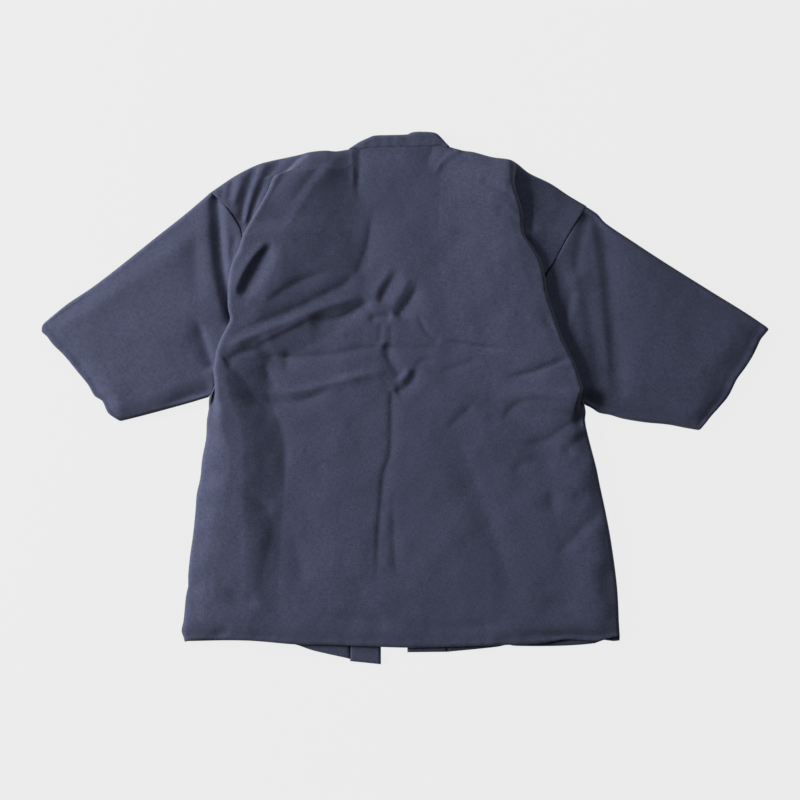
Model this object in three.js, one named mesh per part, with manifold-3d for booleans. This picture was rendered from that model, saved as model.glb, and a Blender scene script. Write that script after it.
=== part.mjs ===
// A padded hanten laid flat with its back up. Millimetres, +Z up.
// X runs across the garment, with the wearer's left at -X, and Y runs from the hem to the collar.
// The origin is the middle of the footprint, on the surface that the garment lies on.
// Layer 0 lies on that surface: the fronts, the collar legs and the under sides of the sleeves.
// Layer 1 is the back and the upper sides of the sleeves. Over each armhole the back is folded in a
// deep pleat, so it takes layers 1, 2 and 3 there.

import * as THREE from 'three';
import Module from 'manifold-3d';

const wasm = await Module();
wasm.setup();

// Cloth
const PAD = 6;
const SEAM_GAP = 0.3;
const LAYER = PAD + SEAM_GAP;
const HALF = PAD / 2;
const CLOTH_COLOUR = 0x454a60;
const CLOTH_ROUGHNESS = 0.95;

// A fold turns back on itself round this radius, so its two layers lie one gap apart.
const FOLD_RADIUS = LAYER / 2;
const FOLD_REACH = FOLD_RADIUS + HALF;
const BEND_STEPS = 4;
const RAMP = 60;
const RAMP_CLEAR = 6;

// Collar band
const NECK_LEFT = { x: -82, y: 371.5 };
const NECK_RIGHT = { x: 62, y: 376 };
const BAND_LEFT = { free: -36.5, seamHem: -394, freeHem: -399 };
const BAND_RIGHT = { free: 3.2, seamHem: -380, freeHem: -380.5 };
const BAND_TOP = 371;

// Where the cloth ends at the collar seam and along the shoulders, left to right
const SHOULDER_LINE = [
  [-290.7, 307.8],
  [-252, 334],
  [-215, 351],
  [-120, 369],
  [NECK_LEFT.x, NECK_LEFT.y],
  [NECK_RIGHT.x, NECK_RIGHT.y],
  [105, 367],
  [158.6, 352],
  [269.6, 288.3],
];

// Hem of the back, and of each front where it shows below the back
const BACK_HEM = [
  [-330, -363],
  [-310, -361],
  [-170, -367],
  [0, -372],
  [150, -368],
  [240, -361],
  [322, -359],
];
const LEFT_HEM = [[-330, -364], [-170, -368], [NECK_LEFT.x, -391]];
const RIGHT_HEM = [[NECK_RIGHT.x, -380], [152, -369], [162, -371], [240, -370.5], [322, -362]];

// Rows of the body, shoulder to hem. drop is how far the row is from the shoulder line to the level
// of the first whole row; seam is the armhole or side seam, fold the pleat's edge, run the cloth's
// way back under that edge and turn the pleat's angle, 180 where it lies folded and 0 where it ends.
const ROW_COLUMNS = [
  'drop', 'leftY', 'rightY', 'leftSeam', 'leftFold', 'rightFold', 'rightSeam', 'run', 'turn',
];
const FIRST_LEVEL = 189;
const ROWS = [
  [0.00, 0, 0, -290.7, -215, 158.6, 269.6, 2, 90],
  [0.33, 0, 0, -260, -212, 166, 251, 12, 180],
  [0.67, 0, 0, -243, -239, 178, 230, 22, 180],
  [1, 189, 189, -243.5, -261.5, 207.3, 207.3, 28, 180],
  [1, 138, 138, -246.5, -263, 218.5, 206.5, 28, 180],
  [1, 92, 92, -260, -276.5, 233.5, 220, 28, 180],
  [1, 62, 62, -269, -284, 248.5, 233.5, 28, 180],
  [1, 30, 30, -278, -289.5, 258.3, 245.5, 24, 180],
  [1, 3, -9.5, -293, -282.5, 257.6, 268, 2, 90],
  [1, -63, -63, -298, -270, 248, 275.5, 2, 0],
  [1, -153, -153, -313, -286, 268, 295, 2, 0],
  [1, -243, -243, -323, -295, 284, 311.5, 2, 0],
  [1, -303, -303, -330, -302, 290, 317.5, 2, 0],
  [2, -363, -363, -330, -302, 294, 322, 2, 0],
].map((values) => Object.fromEntries(values.map((value, i) => [ROW_COLUMNS[i], value])));
const ARMHOLE_ROWS = 9;

// Stations of each sleeve, armhole to cuff: its folded top edge, its lower edge, and how much of the
// armhole's curve the station keeps.
const SLEEVE_COLUMNS = ['topX', 'topY', 'lowX', 'lowY', 'curve'];
const SLEEVES = {
  left: [
    [-330.5, 274, -323, -4, 0.5],
    [-383, 232, -360.5, -15.5, 0.15],
    [-458, 170, -398, -24.5, 0],
    [-543.5, 104, -428.7, -33.3, 0],
  ],
  right: [
    [307, 255.5, 310, -25, 0.5],
    [367, 215.5, 352, -33.5, 0.15],
    [449.5, 163, 394, -39, 0],
    [543.5, 102.5, 444.5, -46.5, 0],
  ],
};
const ARMHOLE_GAP = 0.5;

// Collar across the back of the neck: x, the far edge of its roll, and the free edge beneath
const ROLL = [
  [-79, 381, 352],
  [-65, 386, 352],
  [-47, 393.3, 361],
  [2.5, 395.3, 366],
  [23.5, 399, 369],
  [44.5, 397.4, 368],
  [52, 391, 360],
  [58, 385, 352],
];

const lerp = (a, b, t) => a + (b - a) * t;

// Height of a line of [x, y] points at x
function lineAt(line, x) {
  let i = 1;
  while (i < line.length - 1 && x > line[i][0]) i += 1;
  const [x0, y0] = line[i - 1];
  const [x1, y1] = line[i];
  return lerp(y0, y1, (x - x0) / (x1 - x0));
}

// Y of a body row at x; the last row follows the hem it is given
function rowY(row, x, hem) {
  if (row.drop > 1) return lineAt(hem, x);
  if (row.drop < 1) return lerp(lineAt(SHOULDER_LINE, x), FIRST_LEVEL, row.drop);
  return lerp(row.leftY, row.rightY, (x - row.leftSeam) / (row.rightSeam - row.leftSeam));
}

// Offsets a path of [s, z] points to one side
function offsetPath(path, distance) {
  return path.map((point, i) => {
    const before = path[Math.max(i - 1, 0)];
    const after = path[Math.min(i + 1, path.length - 1)];
    const ds = after[0] - before[0];
    const dz = after[1] - before[1];
    const length = Math.hypot(ds, dz);
    return [point[0] - (dz / length) * distance, point[1] + (ds / length) * distance];
  });
}

// The pleat's path from its outer edge inwards and out again, starting at [0, 0]
function pleatPath(turn, run) {
  const chord = 2 * FOLD_RADIUS * Math.sin(Math.PI / 2 / BEND_STEPS);
  const share = Array.from({ length: BEND_STEPS }, (_, i) => (i + 0.5) / BEND_STEPS);
  const legs = share.map((t) => [turn * t, chord]);
  legs.push([turn, run]);
  share.forEach((t) => legs.push([turn * (1 - t), chord]));
  const path = [[0, 0]];
  for (const [angle, length] of legs) {
    const [s, z] = path[path.length - 1];
    path.push([s + length * Math.cos(angle), z - length * Math.sin(angle)]);
  }
  return path;
}

// Half a section of the back, from the neck line outwards to the seam. s is measured outwards.
function backHalf(row, side) {
  const neck = side < 0 ? -NECK_LEFT.x : NECK_RIGHT.x;
  const fold = side < 0 ? -row.leftFold : row.rightFold;
  const seam = side < 0 ? -row.leftSeam : row.rightSeam;
  const pleat = pleatPath(THREE.MathUtils.degToRad(row.turn), row.run);
  const low = HALF + LAYER;
  const high = low - pleat[pleat.length - 1][1];
  const start = fold - FOLD_REACH;
  const rampEnd = start - row.run - FOLD_REACH - RAMP_CLEAR;
  const rampStart = Math.max(rampEnd - RAMP, neck + 1);
  return [
    [neck, low],
    [rampStart, low],
    [rampEnd, high],
    ...pleat.map(([s, z]) => [start + s, high + z]),
    [seam, low],
  ];
}

// One side of the back's wall: distance is +HALF for the upper face and -HALF for the under face
function backFace(distance) {
  return ROWS.map((row) => {
    const half = (side) => offsetPath(backHalf(row, side), distance)
      .map(([s, z]) => new THREE.Vector3(side * s, rowY(row, side * s, BACK_HEM), z));
    return [...half(-1).reverse(), ...half(1)];
  });
}

// One face of a front, flat on the surface at height z
function frontFace(side, z) {
  const inner = side < 0 ? NECK_LEFT.x : NECK_RIGHT.x;
  const hem = side < 0 ? LEFT_HEM : RIGHT_HEM;
  const spread = [0, 0.3, 0.62, 0.8, 1];
  return ROWS.map((row) => {
    const seam = side < 0 ? row.leftSeam : row.rightSeam;
    const points = spread.map((t) => lerp(inner, seam, t))
      .map((x) => new THREE.Vector3(x, rowY(row, x, hem), z));
    return side < 0 ? points.reverse() : points;
  });
}

// Adds the two triangles of a quad
function addQuad(index, a, b, c, d) {
  index.push(a, b, c, a, c, d);
}

// Closed wall between two grids of points. A ring wall closes on itself across the rows.
function wallGeometry(upper, lower, ring = false) {
  const rows = upper.length;
  const columns = upper[0].length;
  const position = [...upper.flat(), ...lower.flat()].flatMap((p) => [p.x, p.y, p.z]);
  const at = (face, i, j) => face * rows * columns + i * columns + (j % columns);
  const index = [];
  const lastColumn = ring ? columns : columns - 1;
  for (let i = 0; i < rows - 1; i += 1) {
    for (let j = 0; j < lastColumn; j += 1) {
      addQuad(index, at(0, i, j), at(0, i + 1, j), at(0, i + 1, j + 1), at(0, i, j + 1));
      addQuad(index, at(1, i, j), at(1, i, j + 1), at(1, i + 1, j + 1), at(1, i + 1, j));
    }
    if (!ring) {
      addQuad(index, at(0, i, 0), at(1, i, 0), at(1, i + 1, 0), at(0, i + 1, 0));
      const end = columns - 1;
      addQuad(index, at(0, i, end), at(0, i + 1, end), at(1, i + 1, end), at(1, i, end));
    }
  }
  for (let j = 0; j < lastColumn; j += 1) {
    addQuad(index, at(0, 0, j), at(0, 0, j + 1), at(1, 0, j + 1), at(1, 0, j));
    const end = rows - 1;
    addQuad(index, at(0, end, j), at(1, end, j), at(1, end, j + 1), at(0, end, j + 1));
  }
  return orientedGeometry(position, index);
}

// Turns every face outwards by the sign of the enclosed volume
function orientedGeometry(position, index) {
  const p = (i) => new THREE.Vector3(position[3 * i], position[3 * i + 1], position[3 * i + 2]);
  let volume = 0;
  for (let t = 0; t < index.length; t += 3) {
    volume += p(index[t]).dot(p(index[t + 1]).cross(p(index[t + 2])));
  }
  const faces = volume < 0 ? index.slice().reverse() : index;
  const geometry = new THREE.BufferGeometry();
  geometry.setAttribute('position', new THREE.Float32BufferAttribute(position, 3));
  geometry.setIndex(faces);
  return geometry;
}

// Armhole of one side as the row points that the back, the front and the sleeve share
function armhole(side) {
  return ROWS.slice(0, ARMHOLE_ROWS).map((row) => {
    const x = side < 0 ? row.leftSeam : row.rightSeam;
    return new THREE.Vector3(x, rowY(row, x, BACK_HEM), 0);
  });
}

// Points down the width of a sleeve at one station
function stationPoints(hole, station) {
  if (!station) return hole.map((point) => point.clone());
  const top = new THREE.Vector3(station.topX, station.topY, 0);
  const low = new THREE.Vector3(station.lowX, station.lowY, 0);
  const holeTop = hole[0];
  const holeLow = hole[hole.length - 1];
  return hole.map((point) => {
    const t = (holeTop.y - point.y) / (holeTop.y - holeLow.y);
    const bend = point.clone().sub(holeTop.clone().lerp(holeLow, t)).multiplyScalar(station.curve);
    return top.clone().lerp(low, t).add(bend);
  });
}

// Ring of points round a flattened sleeve: upper layer, lower edge, under layer, top edge.
// distance moves the ring out (+) or in (-) from the middle of the wall.
function sleeveRing(points, distance) {
  const count = points.length;
  const outTop = points[0].clone().sub(points[1]).normalize();
  const outLow = points[count - 1].clone().sub(points[count - 2]).normalize();
  const line = points.map((point) => point.clone());
  line[0].addScaledVector(outTop, -FOLD_REACH);
  line[count - 1].addScaledVector(outLow, -FOLD_REACH);
  const middle = HALF + FOLD_RADIUS;
  const radius = FOLD_RADIUS + distance;
  const level = (point, z) => new THREE.Vector3(point.x, point.y, z);
  const turn = (centre, out, from) => [1, 2, 3].map((step) => {
    const angle = from * (Math.PI / 2 - (step * Math.PI) / 4);
    const point = centre.clone().addScaledVector(out, radius * Math.cos(angle));
    return level(point, middle + radius * Math.sin(angle));
  });
  return [
    ...line.map((point) => level(point, middle + radius)),
    ...turn(line[count - 1], outLow, 1),
    ...line.slice().reverse().map((point) => level(point, middle - radius)),
    ...turn(line[0], outTop, -1),
  ];
}

function sleeveGeometry(side) {
  const hole = armhole(side).map((point) => point.clone().setX(point.x + side * ARMHOLE_GAP));
  const table = side < 0 ? SLEEVES.left : SLEEVES.right;
  const stations = table.map((values) => Object.fromEntries(values.map((v, i) => [SLEEVE_COLUMNS[i], v])));
  const lines = [null, ...stations].map((station) => stationPoints(hole, station));
  return wallGeometry(
    lines.map((line) => sleeveRing(line, HALF)),
    lines.map((line) => sleeveRing(line, -HALF)),
    true,
  );
}

// One leg of the collar band, flat between its seam and its free edge
function bandLeg(side) {
  const neck = side < 0 ? NECK_LEFT : NECK_RIGHT;
  const band = side < 0 ? BAND_LEFT : BAND_RIGHT;
  const seam = neck.x - side * SEAM_GAP;
  const corners = (z) => [
    [new THREE.Vector3(seam, BAND_TOP, z), new THREE.Vector3(band.free, BAND_TOP, z)],
    [new THREE.Vector3(seam, band.seamHem, z), new THREE.Vector3(band.free, band.freeHem, z)],
  ];
  return wallGeometry(corners(PAD), corners(0));
}

// The band rolled over at the back of the neck, from the collar seam round to its free edge
function neckRoll() {
  const section = (x, far, free) => {
    const seam = lineAt(SHOULDER_LINE, x) + SEAM_GAP;
    const centre = far - FOLD_REACH;
    const half = pleatPath(Math.PI, 1).slice(0, BEND_STEPS + 1);
    return [
      [seam, HALF + LAYER],
      ...half.map(([s, z]) => [centre + s, HALF + LAYER + z]),
      [free, HALF],
    ];
  };
  const face = (distance) => ROLL.map(([x, far, free]) => offsetPath(section(x, far, free), distance)
    .map(([y, z]) => new THREE.Vector3(x, y, z)));
  return wallGeometry(face(HALF), face(-HALF));
}

function toSolid(geometry) {
  return new wasm.Manifold(new wasm.Mesh({
    numProp: 3,
    vertProperties: new Float32Array(geometry.attributes.position.array),
    triVerts: new Uint32Array(geometry.index.array),
  }));
}

function toGeometry(solid) {
  const mesh = solid.getMesh();
  const geometry = new THREE.BufferGeometry();
  geometry.setAttribute('position', new THREE.Float32BufferAttribute(mesh.vertProperties, 3));
  geometry.setIndex([...mesh.triVerts]);
  return geometry;
}

// The collar is one strip: both legs and the roll that joins them
function collarGeometry() {
  const legs = toSolid(bandLeg(-1)).add(toSolid(bandLeg(1)));
  return toGeometry(legs.add(toSolid(neckRoll())));
}

function clothPiece(name, geometry) {
  const material = new THREE.MeshStandardMaterial({
    color: CLOTH_COLOUR,
    roughness: CLOTH_ROUGHNESS,
    metalness: 0,
  });
  const mesh = new THREE.Mesh(geometry, material);
  mesh.name = name;
  return mesh;
}

const hanten = new THREE.Group();
hanten.add(clothPiece('back', wallGeometry(backFace(HALF), backFace(-HALF))));
hanten.add(clothPiece('front_left', wallGeometry(frontFace(-1, PAD), frontFace(-1, 0))));
hanten.add(clothPiece('front_right', wallGeometry(frontFace(1, PAD), frontFace(1, 0))));
hanten.add(clothPiece('sleeve_left', sleeveGeometry(-1)));
hanten.add(clothPiece('sleeve_right', sleeveGeometry(1)));
hanten.add(clothPiece('collar', collarGeometry()));

export default hanten;
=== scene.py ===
import bpy
import numpy as np
from bpy.props import FloatProperty, PointerProperty, StringProperty
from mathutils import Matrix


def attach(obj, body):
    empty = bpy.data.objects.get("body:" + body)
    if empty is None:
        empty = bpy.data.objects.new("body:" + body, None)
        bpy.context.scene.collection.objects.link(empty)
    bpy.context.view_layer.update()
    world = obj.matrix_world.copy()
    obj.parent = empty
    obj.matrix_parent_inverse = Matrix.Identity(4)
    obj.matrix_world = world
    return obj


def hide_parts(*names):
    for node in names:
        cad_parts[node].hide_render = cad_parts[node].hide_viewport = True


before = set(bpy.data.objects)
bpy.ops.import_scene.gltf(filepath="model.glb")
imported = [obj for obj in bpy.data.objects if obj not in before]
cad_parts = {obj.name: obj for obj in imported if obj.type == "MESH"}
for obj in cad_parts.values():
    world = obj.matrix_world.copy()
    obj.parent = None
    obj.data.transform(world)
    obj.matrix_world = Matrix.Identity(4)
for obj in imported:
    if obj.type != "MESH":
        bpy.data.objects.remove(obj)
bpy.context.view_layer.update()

bl_info = {
    "name": "Hanten laid flat",
    "version": (1, 0, 0),
    "blender": (4, 5, 0),
    "location": "View3D > Sidebar > Hanten",
    "description": "Builds a padded hanten that lies flat with its back up",
    "category": "Add Mesh",
}

# Lengths in the tables below are millimetres; the frame is in metres.
MM = 0.001

# The back's centre line. Rows count downwards in millimetres: 0 is level, at LEVEL_Y; the shoulder is
# -UPPER_SPAN; rows stay level down to LOWER_LEVEL and then bend to the hem, which is row HEM_LEVEL.
CENTRE_X = -8.0
LEVEL_Y = 189.0
UPPER_SPAN = 160.0
LOWER_LEVEL = 509.0
HEM_LEVEL = 553.0

# The row below which the side is open to view, clear of the sleeve
OPEN_ROW = 185.0

# Shoulder line, left cuff side to right, with the collar seam in the middle: x, y
SHOULDER = [
    (-291, 308), (-257, 331), (-233, 344), (-213, 352), (-168, 362), (-140, 368), (-119, 370),
    (-104, 369), (-84, 372), (-63, 373), (-32, 375), (10, 375), (45, 377), (64, 376), (87, 370),
    (101, 368), (129, 360), (162, 354), (186, 336), (217, 321), (246, 302), (270, 288),
]

# Outer edge of the back: the sleeve seam, its stretch under the pleat, then the side seam
LEFT_SEAM = [
    (-291, 308), (-272, 291), (-249, 258), (-243, 240), (-245, 222), (-249, 200), (-252, 170),
    (-252, 140), (-252, 114), (-263, 90), (-270, 72), (-276, 53), (-282, 27), (-290, 8), (-293, -1),
    (-294, -16), (-297, -33), (-298, -59), (-304, -91), (-307, -121), (-312, -142), (-314, -169),
    (-318, -207), (-322, -235), (-325, -265), (-325, -282), (-328, -294), (-332, -334), (-335, -348),
    (-332, -357), (-330, -364),
]
RIGHT_SEAM = [
    (270, 285), (247, 248), (223, 205), (208, 183), (204, 159), (213, 125), (225, 90), (243, 53),
    (255, 18), (267, -7), (270, -21), (269, -33), (274, -58), (286, -104), (291, -129), (300, -171),
    (308, -214), (317, -282), (320, -337), (321, -357),
]

# Edge of the pleat that lies over each armhole: x, y, the cloth's way back under it, and how far it
# has turned over, in degrees
LEFT_FOLD = [
    (-147, 362, 2, 30), (-173, 339, 2, 70), (-192, 332, 3, 100), (-204, 309, 4, 140),
    (-220, 281, 6, 165), (-236, 254, 8, 180), (-242, 242, 8, 180), (-249, 221, 9, 180),
    (-258, 200, 10, 180), (-263, 176, 10, 180), (-264, 156, 10, 180), (-264, 135, 10, 180),
    (-261, 117, 9, 180), (-273, 95, 9, 180), (-280, 80, 9, 180), (-284, 53, 8, 180),
    (-290, 26, 3, 150), (-289, 8, 2, 100), (-282, -14, 2, 50), (-278, -45, 2, 0),
]
RIGHT_FOLD = [
    (159, 353, 2, 45), (160, 330, 3, 90), (162, 315, 4, 130), (171, 288, 6, 165), (175, 272, 8, 180),
    (177, 245, 9, 180), (189, 227, 9, 180), (201, 207, 9, 180), (207, 186, 9, 180), (211, 159, 9, 180),
    (222, 125, 9, 180), (234, 90, 9, 180), (252, 53, 9, 180), (263, 18, 8, 170), (265, 0, 4, 120),
    (258, -21, 2, 50), (252, -50, 2, 0),
]

# Where the body rises from one layer to the pleat's three: y, foot x, top x, least rise, and the
# share of the rise that is reached at the top
RISES = {
    -1: [(372, -80, -104, 1, 0.55), (340, -74, -118, 3.2, 0.5), (305, -62, -140, 8, 0.55),
         (280, -58, -158, 12, 0.7), (252, -54, -176, 16.5, 0.88), (200, -56, -194, 17.5, 0.95),
         (160, -62, -206, 17.5, 1), (140, -64, -212, 15.5, 1), (117, -84, -222, 13, 1),
         (95, -112, -238, 12.6, 1), (75, -150, -256, 12.6, 1), (55, -190, -266, 12.6, 1),
         (30, -206, -268, 12.6, 1), (5, -204, -262, 12.6, 1), (-10, -199, -257, 12.6, 1),
         (-33, -189, -248, 12, 1), (-70, -182, -241, 11.3, 1),
         (-120, -181, -241, 11.2, 1), (-170, -183, -241, 9.8, 1), (-210, -186, -240, 8, 1),
         (-260, -188, -238, 6, 1), (-330, -190, -238, 3, 1), (-364, -190, -238, 0, 1)],
    1: [(372, 60, 150, 0, 1), (300, 50, 150, 0, 1), (200, 50, 175, 0, 1), (130, 60, 195, 0, 1),
        (60, 70, 220, 10, 1), (20, 90, 240, 12, 1), (-20, 150, 250, 8, 1), (-60, 200, 262, 5, 1),
        (-120, 220, 270, 3, 1), (-300, 240, 280, 2, 1), (-357, 250, 290, 0, 1)],
}

# Hem lines: x, y
BACK_HEM = [
    (-330, -364), (-309, -361), (-282, -361), (-245, -362), (-213, -364), (-167, -368), (-116, -369),
    (-63, -371), (3, -373), (60, -372), (151, -369), (201, -367), (241, -361), (288, -363),
    (307, -358), (321, -357),
]
LEFT_FRONT_HEM = [(-330, -364), (-248, -363), (-170, -368), (-138, -378), (-85, -390), (-82, -391)]
RIGHT_FRONT_HEM = [
    (62, -380), (105, -376), (141, -372), (154, -369), (162, -371), (231, -371), (285, -367),
    (297, -362), (310, -364), (321, -363),
]

# Outline of each sleeve from the armhole outwards: x, y
SLEEVES = {
    -1: {
        "top": [
            (-291, 308), (-330, 274), (-372, 240), (-432, 191), (-470, 162), (-506, 138),
            (-543, 108),
        ],
        "cuff": [
            (-543, 108), (-543, 99), (-536, 93), (-527, 81), (-509, 63), (-492, 42), (-474, 20),
            (-464, 3), (-453, -4), (-444, -22), (-429, -33),
        ],
        "low": [(-293, 2), (-323, -6), (-348, -12), (-385, -21), (-429, -33)],
    },
    1: {
        "top": [
            (270, 287), (288, 275), (298, 263), (346, 230), (385, 204), (457, 158), (508, 126),
            (543, 102),
        ],
        "cuff": [
            (543, 102), (537, 95), (531, 87), (522, 68), (510, 48), (496, 29), (483, 3), (469, -14),
            (459, -25), (450, -36), (442, -46),
        ],
        "low": [
            (267, -9), (280, -15), (289, -21), (306, -24), (324, -29), (357, -34), (393, -37),
            (420, -42), (442, -46),
        ],
    },
}

# Collar: each leg's seam x and free edge x, and the y of both at the hem; below, the far edge of the
# roll behind the neck, as x, y
COLLAR_LEGS = {-1: (-81.7, -36.5, -394.0, -398.6), 1: (61.7, 3.2, -380.0, -380.6)}
COLLAR_ROLL = [
    (-84, 373.5), (-76, 379), (-68, 384), (-57, 389), (-47, 393), (-23, 394), (3, 395), (10, 398),
    (24, 399), (45, 397), (54, 390), (61, 382), (66, 377),
]

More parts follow.
